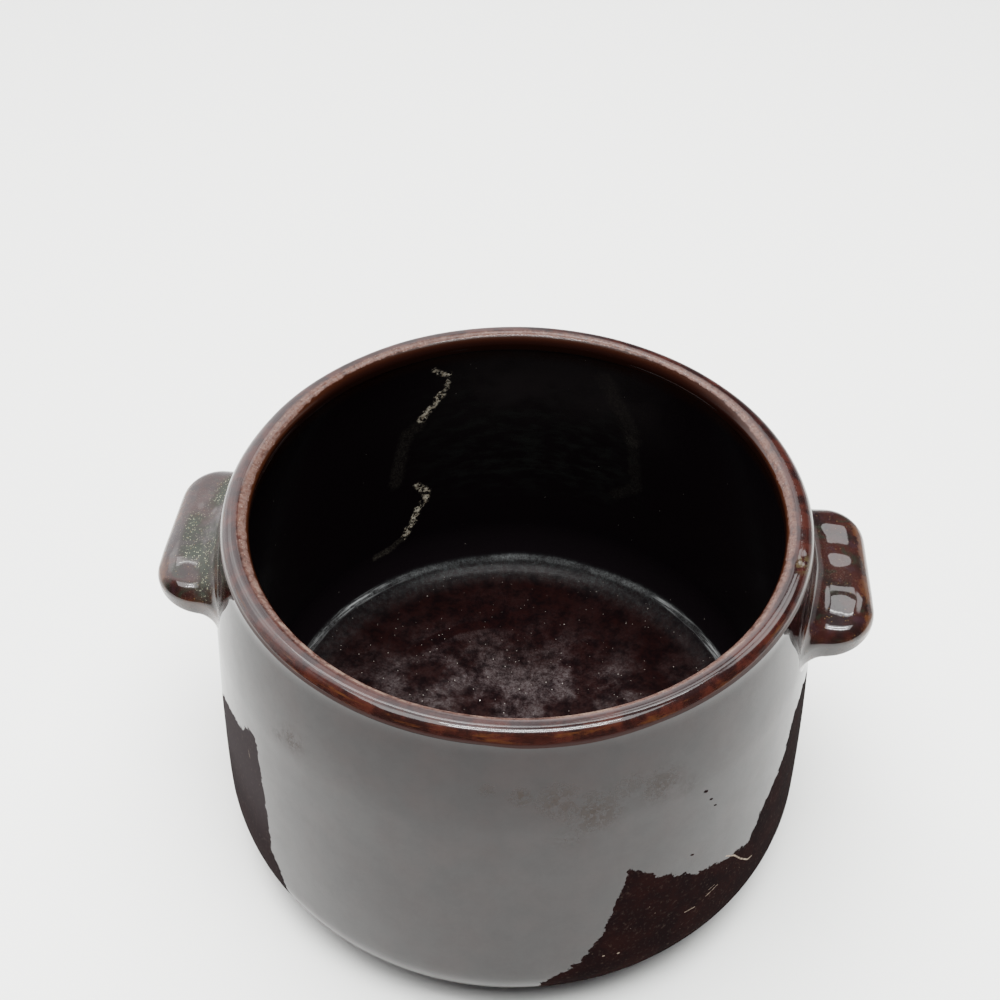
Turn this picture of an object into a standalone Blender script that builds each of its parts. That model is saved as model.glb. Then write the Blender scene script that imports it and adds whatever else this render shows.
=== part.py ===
# Open stoneware bean pot: a turned body, its rolled rim and foot ring, and two block lugs.
# Metres, +Z up. The pot stands on z = 0 with its axis on Z, and the lugs lie on the X axis.

from math import cos, pi, radians, sin, sqrt

import bmesh
import bpy

# Driving sizes of the turned pieces
POT_HEIGHT = 0.1225  # from the table to the top of the rim
RIM_RADIUS = 0.0820  # outside of the rim bead
BEAD_WIDTH = 0.0075
BEAD_HEIGHT = 0.0060
BEAD_CROWN_ROUND = 0.0031  # edge radius of the bead's top
BEAD_FOOT_ROUND = 0.0016  # edge radius of its underside
SHOULDER_STEP = 0.0019  # how far the wall's own line passes outside the bead
SHOULDER_TUCK = 0.0018  # how far the wall draws in again under the bead
SHOULDER_DEPTH = 0.0090  # height over which it does
SEAT_ROUND = 0.0012  # edge radius at the top of the wall
BELLY_SWELL = 0.0070  # how much wider the belly is than the wall's top
BELLY_POWER = 1.35  # 1 is a straight taper, more is a fuller barrel
CORNER_RADIUS = 0.0210  # outside, between wall and underside
WALL_THICKNESS = 0.0086
FLOOR_THICKNESS = 0.0125
FLOOR_FILLET = 0.0170  # inside, between wall and floor
FOOT_HEIGHT = 0.0025
FOOT_WIDTH = 0.0080
FOOT_INSET = 0.0040  # from the start of the outer corner in to the foot ring
FOOT_ROUND = 0.0008
FOOT_TOP_ROUND = 0.0004

# Driving sizes of a lug
LUG_LENGTH = 0.0515  # along the wall
LUG_THICKNESS = 0.0132
LUG_REACH = 0.0155  # out from the wall
LUG_DROP = 0.0172  # from the top of the rim down to the lug's top
LUG_CORNER = 0.0130  # seen from above
LUG_TOP_ROUND = 0.0058
LUG_UNDER_ROUND = 0.0038
LUG_ROOT_FILLET = 0.0055
LUG_TOP_DIP = 0.0007  # thumb hollow in the middle of the top

CLAY_GAP = 0.0003  # clearance between pieces that touch

# Most of a side that a round on its edge may take, so that thin pieces keep a flat
CROWN_SHARE = 0.45  # of a ring's width
RING_TOP_SHARE = 0.6  # of a ring's height
RING_UNDER_SHARE = 0.35
LUG_TOP_SHARE = 0.44  # of a lug's thickness
LUG_UNDER_SHARE = 0.54
LEAST_FACE_SHARE = 0.2  # of a lug's half length, left flat at its end
FILLET_SHARE = 0.4  # of the inside height

# Fineness of the solids
TURNED_STEP_COUNT = 72
WALL_COUNT = 12
INNER_WALL_COUNT = 7
CORNER_COUNT = 7
EDGE_COUNT = 4
FOOT_EDGE_COUNT = 2
LUG_FLAT_COUNT = 4
LUG_ROUND_COUNT = 6
LUG_END_COUNT = 7
FILLET_COUNT = 4
FILLET_START = radians(30)  # where the root fillet stops short of a feather edge
ROOT_RING_COUNT = 4
SHARP_ANGLE = radians(40)
WALL_SPAN_POWER = 1.4  # brings the wall's rings closer together near the top

# Share of clear coat on a glazed and on a bare surface
GLAZE_COAT = 0.5
NO_COAT = 0.0

# Places worked out from the sizes
shoulder_radius = RIM_RADIUS + SHOULDER_STEP
belly_radius = shoulder_radius + BELLY_SWELL
belly_height = FOOT_HEIGHT + CORNER_RADIUS
bead_base = POT_HEIGHT - BEAD_HEIGHT
seat_height = bead_base - CLAY_GAP
floor_height = FOOT_HEIGHT + FLOOR_THICKNESS
foot_radius = belly_radius - CORNER_RADIUS - FOOT_INSET
lug_top = POT_HEIGHT - LUG_DROP
lug_bottom = lug_top - LUG_THICKNESS
lug_half = LUG_LENGTH / 2


def wall_line(height):
    """Radius of the barrel's outer line, before it draws in under the bead."""
    share = (seat_height - height) / (seat_height - belly_height)
    share = min(max(share, 0.0), 1.0)
    return belly_radius - BELLY_SWELL * (1 - share) ** BELLY_POWER


def wall_radius(height):
    """Outer radius of the wall, with its draw-in under the bead."""
    above = max(0.0, 1 - (seat_height - height) / SHOULDER_DEPTH)
    return wall_line(height) - SHOULDER_TUCK * above**2


def arc(centre_r, centre_z, radius, start, end, spans):
    """Points of a circle's arc in the r-z plane, both ends included."""
    points = []
    for step in range(spans + 1):
        angle = start + (end - start) * step / spans
        points.append((centre_r + radius * cos(angle), centre_z + radius * sin(angle)))
    return points


def rounded_ring(inner, outer, bottom, top, crown, under, spans):
    """Closed section of a ring, down its outer side and up its inner side."""
    crown = min(crown, CROWN_SHARE * (outer - inner), RING_TOP_SHARE * (top - bottom))
    under = min(under, CROWN_SHARE * (outer - inner), RING_UNDER_SHARE * (top - bottom))
    section = arc(outer - crown, top - crown, crown, pi / 2, 0, spans)
    section += arc(outer - under, bottom + under, under, 0, -pi / 2, spans)
    section += arc(inner + under, bottom + under, under, -pi / 2, -pi, spans)
    section += arc(inner + crown, top - crown, crown, pi, pi / 2, spans)
    return section


def body_section():
    """Open section of the body: floor, inner wall, seat, outer wall, underside."""
    fillet = min(FLOOR_FILLET, FILLET_SHARE * (seat_height - floor_height))
    wall_foot = floor_height + fillet
    inside = wall_line(wall_foot) - WALL_THICKNESS
    section = [(0.0, floor_height)]
    section += arc(inside - fillet, wall_foot, fillet, -pi / 2, 0, CORNER_COUNT)
    for step in range(1, INNER_WALL_COUNT + 1):
        height = wall_foot + (seat_height - wall_foot) * step / INNER_WALL_COUNT
        section.append((wall_line(height) - WALL_THICKNESS, height))
    edge = wall_radius(seat_height - SEAT_ROUND) - SEAT_ROUND
    section += arc(edge, seat_height - SEAT_ROUND, SEAT_ROUND, pi / 2, 0, EDGE_COUNT)
    top = seat_height - SEAT_ROUND
    for step in range(1, WALL_COUNT):
        share = (step / WALL_COUNT) ** WALL_SPAN_POWER
        height = top + (belly_height - top) * share
        section.append((wall_radius(height), height))
    section += arc(belly_radius - CORNER_RADIUS, belly_height, CORNER_RADIUS, 0, -pi / 2, CORNER_COUNT)
    section.append((0.0, FOOT_HEIGHT))
    return section


def principled(name, colour, roughness, coat):
    """Plain Principled material with a non-metallic surface."""
    material = bpy.data.materials.new(name)
    material.use_nodes = True
    shader = material.node_tree.nodes["Principled BSDF"]
    shader.inputs["Base Color"].default_value = (*colour, 1.0)
    shader.inputs["Roughness"].default_value = roughness
    shader.inputs["Metallic"].default_value = 0.0
    shader.inputs["Coat Weight"].default_value = coat
    return material


def turned(name, section, closed, collection, material):
    """Object made by turning an r-z section once round the Z axis."""
    mesh = bpy.data.meshes.new(name)
    last = len(section)
    edges = [(index, index + 1) for index in range(last - 1)]
    if closed:
        edges.append((last - 1, 0))
    mesh.from_pydata([(r, 0.0, z) for r, z in section], edges, [])
    mesh.materials.append(material)
    piece = bpy.data.objects.new(name, mesh)
    collection.objects.link(piece)
    screw = piece.modifiers.new("Turn", "SCREW")
    screw.axis = "Z"
    screw.angle = 2 * pi
    screw.steps = TURNED_STEP_COUNT
    screw.render_steps = TURNED_STEP_COUNT
    screw.use_merge_vertices = True
    screw.merge_threshold = 0.00005
    screw.use_smooth_shade = True
    return piece


def half_outline(half, top, bottom, grow, dip):
    """Right half of a lug's outline seen from outside, from top middle to bottom middle."""
    top_round = min(LUG_TOP_ROUND + grow, LUG_TOP_SHARE * (top - bottom), half)
    under_round = min(LUG_UNDER_ROUND + grow, LUG_UNDER_SHARE * (top - bottom), half)
    outline = []
    for step in range(LUG_FLAT_COUNT):
        share = step / LUG_FLAT_COUNT
        outline.append((share * (half - top_round), top - dip * (1 - share**2) ** 2))
    outline += arc(half - top_round, top - top_round, top_round, pi / 2, 0, LUG_ROUND_COUNT)
    outline += arc(half - under_round, bottom + under_round, under_round, 0, -pi / 2, LUG_ROUND_COUNT)
    for step in range(1, LUG_FLAT_COUNT + 1):
        share = 1 - step / LUG_FLAT_COUNT
        outline.append((share * (half - under_round), bottom))
    return outline


def on_wall(y, z, out):
    """Point at a distance out from the wall, past the clearance, measured along X."""
    radius = wall_radius(z) + CLAY_GAP
    return (sqrt(radius**2 - y**2) + out, y, z)


def root_rings(outline, middle):
    """Rings on the wall that grow from the root's middle to its edge."""
    rings = []
    for ring in range(1, ROOT_RING_COUNT + 1):
        share = ring / ROOT_RING_COUNT
        rings.append([on_wall(y * share, middle + (z - middle) * share, 0.0) for y, z in outline])
    return rings


def fillet_rings(middle):
    """Root face, then the fillet: the outline shrinks as it leaves the wall."""
    rings = []
    for step in range(FILLET_COUNT + 1):
        angle = FILLET_START + (pi / 2 - FILLET_START) * step / FILLET_COUNT
        grow = LUG_ROOT_FILLET * (1 - sin(angle))
        outline = half_outline(lug_half + grow, lug_top + grow, lug_bottom - grow, grow, LUG_TOP_DIP)
        if step == 0:
            rings = root_rings(outline, middle)
        rings.append([on_wall(y, z, LUG_ROOT_FILLET * (1 - cos(angle))) for y, z in outline])
    return rings


def end_rings(neck, middle):
    """Outer end: each point runs along a quarter of an ellipse to the small outer face."""
    tip = wall_radius(middle) + LUG_REACH
    face = half_outline(
        max(lug_half - LUG_CORNER, LEAST_FACE_SHARE * lug_half),
        lug_top - min(LUG_TOP_ROUND, LUG_TOP_SHARE * LUG_THICKNESS),
        lug_bottom + min(LUG_UNDER_ROUND, LUG_UNDER_SHARE * LUG_THICKNESS),
        0.0,
        0.0,
    )
    rings = []
    for step in range(1, LUG_END_COUNT + 1):
        out = sin(pi / 2 * step / LUG_END_COUNT)
        left = cos(pi / 2 * step / LUG_END_COUNT)
        ring = []
        for (x, y, z), (face_y, face_z) in zip(neck, face):
            ring.append((x + (tip - x) * out, face_y + (y - face_y) * left, face_z + (z - face_z) * left))
        rings.append(ring)
    return rings


def lug_mesh(material):
    """Half a lug, open at y = 0, where a Mirror completes it."""
    middle = (lug_top + lug_bottom) / 2
    rings = fillet_rings(middle)
    rings += end_rings(rings[-1], middle)
    shape = bmesh.new()
    centre = shape.verts.new(on_wall(0.0, middle, 0.0))
    loops = [[shape.verts.new(point) for point in ring] for ring in rings]
    for above, below in zip(loops[0], loops[0][1:]):
        shape.faces.new((centre, above, below))
    for inner, outer in zip(loops, loops[1:]):
        for index in range(len(inner) - 1):
            shape.faces.new((inner[index], outer[index], outer[index + 1], inner[index + 1]))
    shape.faces.new(reversed(loops[-1]))
    mesh = bpy.data.meshes.new("lug")
    shape.to_mesh(mesh)
    shape.free()
    mesh.materials.append(material)
    mesh.shade_smooth()
    mesh.set_sharp_from_angle(angle=SHARP_ANGLE)
    return mesh


def lug(name, mesh, turn, collection):
    """One lug, turned about the pot's axis to its side."""
    piece = bpy.data.objects.new(name, mesh)
    piece.rotation_euler.z = turn
    collection.objects.link(piece)
    mirror = piece.modifiers.new("Other half", "MIRROR")
    mirror.use_axis = (False, True, False)
    mirror.use_mirror_merge = True
    mirror.merge_threshold = 0.00005
    return piece


def build():
    for old in list(bpy.data.objects):
        bpy.data.objects.remove(old)
    pot = bpy.data.collections.new("bean_pot")
    bpy.context.scene.collection.children.link(pot)

    body_glaze = principled("body_glaze", (0.030, 0.011, 0.008), 0.10, GLAZE_COAT)
    turned("pot_body", body_section(), False, pot, body_glaze)

    bead = rounded_ring(
        RIM_RADIUS - BEAD_WIDTH,
        RIM_RADIUS,
        bead_base,
        POT_HEIGHT,
        BEAD_CROWN_ROUND,
        BEAD_FOOT_ROUND,
        EDGE_COUNT,
    )
    rim_glaze = principled("rim_glaze", (0.085, 0.026, 0.014), 0.14, GLAZE_COAT)
    turned("rim_bead", bead, True, pot, rim_glaze)

    foot = rounded_ring(
        foot_radius - FOOT_WIDTH,
        foot_radius,
        0.0,
        FOOT_HEIGHT - CLAY_GAP,
        FOOT_TOP_ROUND,
        FOOT_ROUND,
        FOOT_EDGE_COUNT,
    )
    bare_clay = principled("bare_clay", (0.46, 0.33, 0.22), 0.85, NO_COAT)
    turned("foot_ring", foot, True, pot, bare_clay)

    lug_glaze = principled("lug_glaze", (0.050, 0.017, 0.010), 0.14, GLAZE_COAT)
    shape = lug_mesh(lug_glaze)
    lug("right_lug", shape, 0.0, pot)
    lug("left_lug", shape, pi, pot)


build()
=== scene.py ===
# Bean pot: brown glazed stoneware with a rolled rim, two block lugs and a bare foot ring.
# Metres, +Z up, the pot stands on z = 0.
# What a user would change is in the settings beside each piece.

from math import atan2, cos, degrees, hypot, pi, radians, sin, sqrt

import bpy
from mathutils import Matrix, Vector


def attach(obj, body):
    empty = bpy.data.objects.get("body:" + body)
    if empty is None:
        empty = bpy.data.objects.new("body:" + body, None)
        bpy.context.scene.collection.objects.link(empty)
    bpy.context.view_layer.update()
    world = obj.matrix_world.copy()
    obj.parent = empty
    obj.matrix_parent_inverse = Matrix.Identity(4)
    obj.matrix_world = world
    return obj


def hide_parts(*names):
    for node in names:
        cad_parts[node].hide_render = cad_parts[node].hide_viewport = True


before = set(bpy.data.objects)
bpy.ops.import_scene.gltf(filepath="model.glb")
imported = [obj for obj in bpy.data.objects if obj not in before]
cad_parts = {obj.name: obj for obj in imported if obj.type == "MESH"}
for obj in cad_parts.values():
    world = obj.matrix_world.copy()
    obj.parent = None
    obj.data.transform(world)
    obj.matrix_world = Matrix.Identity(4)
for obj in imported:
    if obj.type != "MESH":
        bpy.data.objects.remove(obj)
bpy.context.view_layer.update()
print("frame loaded:", ", ".join(sorted(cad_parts)))


# Working by hand: selection, edit mode, modifiers

def deselectAll():
    if bpy.context.mode != "OBJECT":
        bpy.ops.object.mode_set(mode="OBJECT")
    bpy.ops.object.select_all(action="DESELECT")


def makeActive(piece):
    deselectAll()
    piece.select_set(True)
    bpy.context.view_layer.objects.active = piece


def applyModifiers(piece):
    makeActive(piece)
    for modifier in list(piece.modifiers):
        bpy.ops.object.modifier_apply(modifier=modifier.name)


def closeUp(piece):
    makeActive(piece)
    bpy.ops.object.mode_set(mode="EDIT")
    bpy.ops.mesh.select_all(action="SELECT")
    bpy.ops.mesh.remove_doubles(threshold=0.000005)
    bpy.ops.mesh.normals_make_consistent(inside=False)
    bpy.ops.object.mode_set(mode="OBJECT")


def smoothShade(piece, angle):
    makeActive(piece)
    bpy.ops.object.shade_smooth_by_angle(angle=radians(angle))


def arcPoints(centreR, centreZ, radius, start, end, spans):
    points = []
    for step in range(spans + 1):
        angle = radians(start + (end - start) * step / spans)
        points.append((centreR + radius * cos(angle), centreZ + radius * sin(angle)))
    return points


def turnOnWheel(name, profile, steps):
    deselectAll()
    bpy.ops.mesh.primitive_plane_add(size=0.001, location=(profile[0][0], 0, profile[0][1]))
    piece = bpy.context.object
    piece.name = name
    bpy.ops.object.transform_apply(location=True, rotation=True, scale=True)
    bpy.ops.object.mode_set(mode="EDIT")
    bpy.ops.mesh.select_all(action="SELECT")
    bpy.ops.mesh.merge(type="CENTER")
    for (r, z), (nextR, nextZ) in zip(profile, profile[1:]):
        bpy.ops.mesh.extrude_vertices_move(TRANSFORM_OT_translate={"value": (nextR - r, 0, nextZ - z)})
    bpy.ops.mesh.select_all(action="SELECT")
    bpy.ops.mesh.spin(steps=steps, angle=2 * pi, center=(0, 0, 0), axis=(0, 0, 1))
    bpy.ops.object.mode_set(mode="OBJECT")
    closeUp(piece)
    return piece


def unevenClay(piece, name, grain, depth):
    clouds = bpy.data.textures.new(name, "CLOUDS")
    clouds.noise_scale = grain
    clouds.noise_depth = 1
    makeActive(piece)
    uneven = piece.modifiers.new(name, "DISPLACE")
    uneven.texture = clouds
    uneven.texture_coords = "LOCAL"
    uneven.strength = depth
    uneven.mid_level = 1.0  # inwards only, so the pot keeps inside its measured size


# Working with shader nodes

def addNode(tree, kind, **settings):
    node = tree.nodes.new(kind)
    for name, value in settings.items():
        setattr(node, name, value)
    return node


def plug(tree, source, socket):
    if isinstance(source, bpy.types.NodeSocket):
        tree.links.new(source, socket)
    elif source is not None:
        socket.default_value = source


def maths(tree, operation, first, second=None, third=None):
    node = addNode(tree, "ShaderNodeMath", operation=operation)
    for source, socket in zip((first, second, third), node.inputs):
        plug(tree, source, socket)
    return node.outputs[0]


def times(tree, *factors):
    product = factors[0]
    for factor in factors[1:]:
        product = maths(tree, "MULTIPLY", product, factor)
    return product


def highest(tree, *values):
    top = values[0]
    for value in values[1:]:
        top = maths(tree, "MAXIMUM", top, value)
    return top


def inverted(tree, value):
    return maths(tree, "SUBTRACT", 1.0, value)


# A pattern from 0 to 1 turned into one that swings both ways about nought
def swinging(tree, pattern, swing):
    return times(tree, maths(tree, "SUBTRACT", pattern, 0.5), swing)


def between(tree, value, low, high, toLow=0.0, toHigh=1.0):
    node = addNode(tree, "ShaderNodeMapRange", interpolation_type="SMOOTHSTEP")
    for source, socket in zip((value, low, high, toLow, toHigh), node.inputs):
        plug(tree, source, socket)
    return node.outputs[0]


# A patch that fades in from start to full and out again from less to end
def within(tree, value, start, full, less, end):
    return times(tree, between(tree, value, start, full), between(tree, value, end, less))


def noiseAt(tree, place, scale, detail=2.0, rough=0.5, twist=0.0):
    node = addNode(tree, "ShaderNodeTexNoise")
    plug(tree, place, node.inputs["Vector"])
    plug(tree, scale, node.inputs["Scale"])
    node.inputs["Detail"].default_value = detail
    node.inputs["Roughness"].default_value = rough
    node.inputs["Distortion"].default_value = twist
    return node.outputs[0]


def partsOf(tree, source):
    node = addNode(tree, "ShaderNodeSeparateXYZ")
    plug(tree, source, node.inputs[0])
    return node.outputs


def vectorFrom(tree, x, y):
    node = addNode(tree, "ShaderNodeCombineXYZ")
    for source, socket in zip((x, y), node.inputs):
        plug(tree, source, socket)
    return node.outputs[0]


def vectorMaths(tree, operation, first, second):
    node = addNode(tree, "ShaderNodeVectorMath", operation=operation)
    plug(tree, first, node.inputs[0])
    plug(tree, second, node.inputs["Scale" if operation == "SCALE" else 1])
    return node.outputs["Value" if operation in ("DOT_PRODUCT", "DISTANCE") else "Vector"]


def blendColour(tree, mask, under, over):
    node = addNode(tree, "ShaderNodeMix", data_type="RGBA")
    plug(tree, mask, node.inputs[0])
    plug(tree, under, node.inputs[6])
    plug(tree, over, node.inputs[7])
    return node.outputs[2]


# A finish's own colours laid over one another, each where its mask says
def layOver(tree, colour, finish, **masks):
    for name, mask in masks.items():
        colour = blendColour(tree, mask, colour, finish[name])
    return colour


def useGroup(tree, group, **values):
    node = addNode(tree, "ShaderNodeGroup", node_tree=group)
    for name, value in values.items():
        plug(tree, value, node.inputs[name])
    return node.outputs


def startGroup(name, inputs, outputs):
    group = bpy.data.node_groups.new(name, "ShaderNodeTree")
    for socketName, kind, value in inputs:
        socket = group.interface.new_socket(socketName, in_out="INPUT", socket_type=kind)
        socket.default_value = value
    for socketName, kind in outputs:
        group.interface.new_socket(socketName, in_out="OUTPUT", socket_type=kind)
    return group, addNode(group, "NodeGroupInput").outputs, addNode(group, "NodeGroupOutput").inputs


def startMaterial(name, roughness, coat, coatRoughness, shine, ior=1.5):
    material = bpy.data.materials.new(name)
    material.use_nodes = True
    shader = material.node_tree.nodes["Principled BSDF"]
    shader.inputs["Roughness"].default_value = roughness
    shader.inputs["Specular IOR Level"].default_value = shine
    shader.inputs["Coat Weight"].default_value = coat
    shader.inputs["Coat Roughness"].default_value = coatRoughness
    shader.inputs["Coat IOR"].default_value = ior
    return material, material.node_tree, shader.inputs


def raiseSurface(tree, shader, height):
    bump = addNode(tree, "ShaderNodeBump")
    bump.inputs["Distance"].default_value = 1.0
    plug(tree, height, bump.inputs["Height"])
    for name in ("Normal", "Coat Normal"):
        plug(tree, bump.outputs[0], shader[name])


# Height in metres, read off a line of points: value along, millimetres up
def heightCurve(tree, value, points):
    curveTop = 100  # the curve's square is this many millimetres high
    low, high = points[0][0], points[-1][0]
    share = maths(tree, "DIVIDE", maths(tree, "SUBTRACT", value, low), high - low)
    node = addNode(tree, "ShaderNodeFloatCurve")
    plug(tree, share, node.inputs["Value"])
    curve = node.mapping.curves[0]
    for x, y in points[1:-1]:
        curve.points.new((x - low) / (high - low), y / curveTop)
    curve.points[0].location = (0.0, points[0][1] / curveTop)
    curve.points[len(curve.points) - 1].location = (1.0, points[-1][1] / curveTop)
    for point in curve.points:
        point.handle_type = "VECTOR"
    node.mapping.update()
    return times(tree, node.outputs[0], curveTop / 1000)


# Shared effects

number = "NodeSocketFloat"
vector = "NodeSocketVector"
atPlace = ("Place", vector, (0, 0, 0))

# Where a point lies on the pot: degrees round the axis, distance from it, height, and how far
# its surface faces outward and upward
potPlace, _, result = startGroup(
    "place on the pot",
    [],
    [("Place", vector)]
    + [(name, number) for name in ("X", "Y", "Azimuth", "Radius", "Height", "Outward", "Upward")],
)
objectPlace = addNode(potPlace, "ShaderNodeTexCoord").outputs["Object"]
placeX, placeY, placeZ = partsOf(potPlace, objectPlace)
normal = addNode(potPlace, "ShaderNodeNewGeometry").outputs["Normal"]
normalX, normalY, normalZ = partsOf(potPlace, normal)
squares = maths(potPlace, "MULTIPLY_ADD", placeX, placeX, times(potPlace, placeY, placeY))
distance = maths(potPlace, "SQRT", squares)
turned = maths(potPlace, "DEGREES", maths(potPlace, "ARCTAN2", placeY, placeX))
sideways = maths(potPlace, "MULTIPLY_ADD", normalY, placeY, times(potPlace, normalX, placeX))
sideways = maths(potPlace, "DIVIDE", sideways, distance)
found = (objectPlace, placeX, placeY, turned, distance, placeZ, sideways, normalZ)
for value, socket in zip(found, result):
    plug(potPlace, value, socket)

# Ripple of a fired glaze: slow waves and a fine skin
glazeRipple, given, result = startGroup(
    "glaze ripple", [atPlace, ("Waves", number, 0.00006), ("Skin", number, 0.00001)], [("Height", number)]
)
waves = times(glazeRipple, noiseAt(glazeRipple, given["Place"], 70, 2), given["Waves"])
skin = times(glazeRipple, noiseAt(glazeRipple, given["Place"], 620, 2, 0.6), given["Skin"])
plug(glazeRipple, maths(glazeRipple, "ADD", waves, skin), result["Height"])

# Specks: small hard grains, some places more than others
specks, given, result = startGroup(
    "specks",
    [atPlace, ("Scale", number, 600.0), ("Size", number, 0.12), ("Rarity", number, 0.6)],
    [("Mask", number)],
)
grains = addNode(specks, "ShaderNodeTexVoronoi")
plug(specks, given["Place"], grains.inputs["Vector"])
plug(specks, given["Scale"], grains.inputs["Scale"])
speck = maths(specks, "LESS_THAN", grains.outputs["Distance"], given["Size"])
chance = partsOf(specks, grains.outputs["Color"])[0]
kept = maths(specks, "GREATER_THAN", chance, given["Rarity"])
plug(specks, times(specks, speck, kept), result["Mask"])


def specksAt(tree, place, scale, size, rarity):
    return useGroup(tree, specks, Place=place, Scale=scale, Size=size, Rarity=rarity)["Mask"]


# Dust that has settled on what faces up
settledDust, given, result = startGroup(
    "settled dust", [atPlace, ("Amount", number, 0.5), ("Grain", number, 900.0)], [("Mask", number)]
)
normal = addNode(settledDust, "ShaderNodeNewGeometry").outputs["Normal"]
upward = between(settledDust, partsOf(settledDust, normal)[2], 0.3, 0.95)
cloudy = between(settledDust, noiseAt(settledDust, given["Place"], 90, 4, 0.6), 0.3, 0.65)
grainy = between(settledDust, noiseAt(settledDust, given["Place"], given["Grain"]), 0.35, 0.7, 0.45, 1.0)
plug(settledDust, times(settledDust, upward, cloudy, grainy, given["Amount"]), result["Mask"])

# One scratch from start to end, in millimetres across the surface
singleScratch, given, result = startGroup(
    "single scratch",
    [atPlace, ("Start", vector, (0, 0, 0)), ("End", vector, (1, 0, 0)), ("Width", number, 0.3)],
    [("Mask", number)],
)
fromStart = vectorMaths(singleScratch, "SUBTRACT", given["Place"], given["Start"])
whole = vectorMaths(singleScratch, "SUBTRACT", given["End"], given["Start"])
covered = vectorMaths(singleScratch, "DOT_PRODUCT", fromStart, whole)
along = maths(singleScratch, "DIVIDE", covered, vectorMaths(singleScratch, "DOT_PRODUCT", whole, whole))
along = between(singleScratch, along, 0.0, 1.0)
along.node.interpolation_type = "LINEAR"
nearest = vectorMaths(singleScratch, "SCALE", whole, along)
off = vectorMaths(singleScratch, "DISTANCE", fromStart, nearest)
fullWidth = times(singleScratch, given["Width"], 0.35)
plug(singleScratch, between(singleScratch, off, given["Width"], fullWidth), result["Mask"])


# The wall rolled out flat, in millimetres
def rolledOut(tree, where, perDegree):
    return vectorFrom(
        tree, times(tree, where["Azimuth"], perDegree), times(tree, where["Height"], 1000.0)
    )


# A pattern stretched along the pot: its scale round the pot, and across by height, radius or slope
def stretchedNoise(tree, where, perDegree, other, otherScale, detail, rough):
    across = times(tree, where["Azimuth"], perDegree)
    stretched = vectorFrom(tree, across, times(tree, where[other], otherScale))
    return noiseAt(tree, stretched, 1.0, detail, rough)


# A broken line through points given in degrees round the pot and millimetres up
def strokes(tree, where, perDegree, points, width, wander=0.0):
    flat = rolledOut(tree, where, perDegree)
    if wander:
        turns = noiseAt(tree, where["Place"], 420, 3, 0.65).node.outputs["Color"]
        away = vectorMaths(tree, "SUBTRACT", turns, (0.5, 0.5, 0.5))
        flat = vectorMaths(tree, "ADD", flat, vectorMaths(tree, "SCALE", away, wander))
        flat = vectorMaths(tree, "MULTIPLY", flat, (1.0, 1.0, 0.0))
    drawn = 0.0
    for (azimuth, height), (nextAzimuth, nextHeight) in zip(points, points[1:]):
        start = (azimuth * perDegree, height, 0)
        end = (nextAzimuth * perDegree, nextHeight, 0)
        line = useGroup(tree, singleScratch, Place=flat, Start=start, End=end, Width=width)["Mask"]
        drawn = highest(tree, drawn, line)
    return drawn


print("shared finishes ready")


# Pot: thrown body

potSize = {
    "seatHeight": 0.1187,  # the wall ends under the rim, out of sight
    "seatBevel": (0.0010, 0.0006),  # across and down, on the seat's inner edge
    "wallTop": 0.1162,  # where the wall's own curve ends
    "floorHeight": 0.0150,
    "bellyHeight": 0.0235,
    "bellyRadius": 0.0909,
    "bellySwell": 0.0070,
    "bellyPower": 1.35,
    "shoulderTuck": 0.0020,
    "shoulderTop": 0.1190,
    "shoulderDepth": 0.0300,
    "shoulderPower": 1.5,
    "lip": 0.0014,  # the wall thickens inwards under the rim
    "lipTop": 0.1182,
    "lipDepth": 0.0180,
    "lean": (0.0005, 0.0002),  # the mouth was thrown a little to one side
    "leanFrom": 0.0950,
    "leanTo": 0.1185,
    "wall": 0.0086,
    "corner": 0.0210,
    "fillet": 0.0170,
    "baseHeight": 0.0025,
    "baseRings": (0.0, 0.015, 0.03, 0.045, 0.057, 0.0665),
    "floorRings": (0.055, 0.045, 0.035, 0.025, 0.015, 0.007, 0.0),
    "bareTop": 0.0027,  # the underside is left unglazed as far as this height and radius
    "bareRadius": 0.0668,
    "insideFrom": 0.0120,
    "unevenGrain": 0.045,
    "unevenDepth": 0.0005,
    "steps": 288,
    "outsideSpans": 64,
    "spacing": 0.85,  # below 1 brings the points closer together near the shoulder
    "insideSpans": 30,
    "bendSpans": 20,
}


def wallLine(height):
    share = (potSize["wallTop"] - height) / (potSize["wallTop"] - potSize["bellyHeight"])
    share = min(max(share, 0.0), 1.0)
    return potSize["bellyRadius"] - potSize["bellySwell"] * (1 - share) ** potSize["bellyPower"]


def wallRadius(height):
    above = max(0.0, 1 - (potSize["shoulderTop"] - height) / potSize["shoulderDepth"])
    return wallLine(height) - potSize["shoulderTuck"] * min(above, 1.0) ** potSize["shoulderPower"]


def insideRadius(height):
    above = max(0.0, 1 - (potSize["lipTop"] - height) / potSize["lipDepth"])
    return wallLine(height) - potSize["wall"] - potSize["lip"] * above**2


def leanMouth(piece):
    start, end = potSize["leanFrom"], potSize["leanTo"]
    for vertex in piece.data.vertices:
        above = max(0.0, (vertex.co.z - start) / (end - start))
        vertex.co.x += potSize["lean"][0] * above**2
        vertex.co.y += potSize["lean"][1] * above**2


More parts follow.
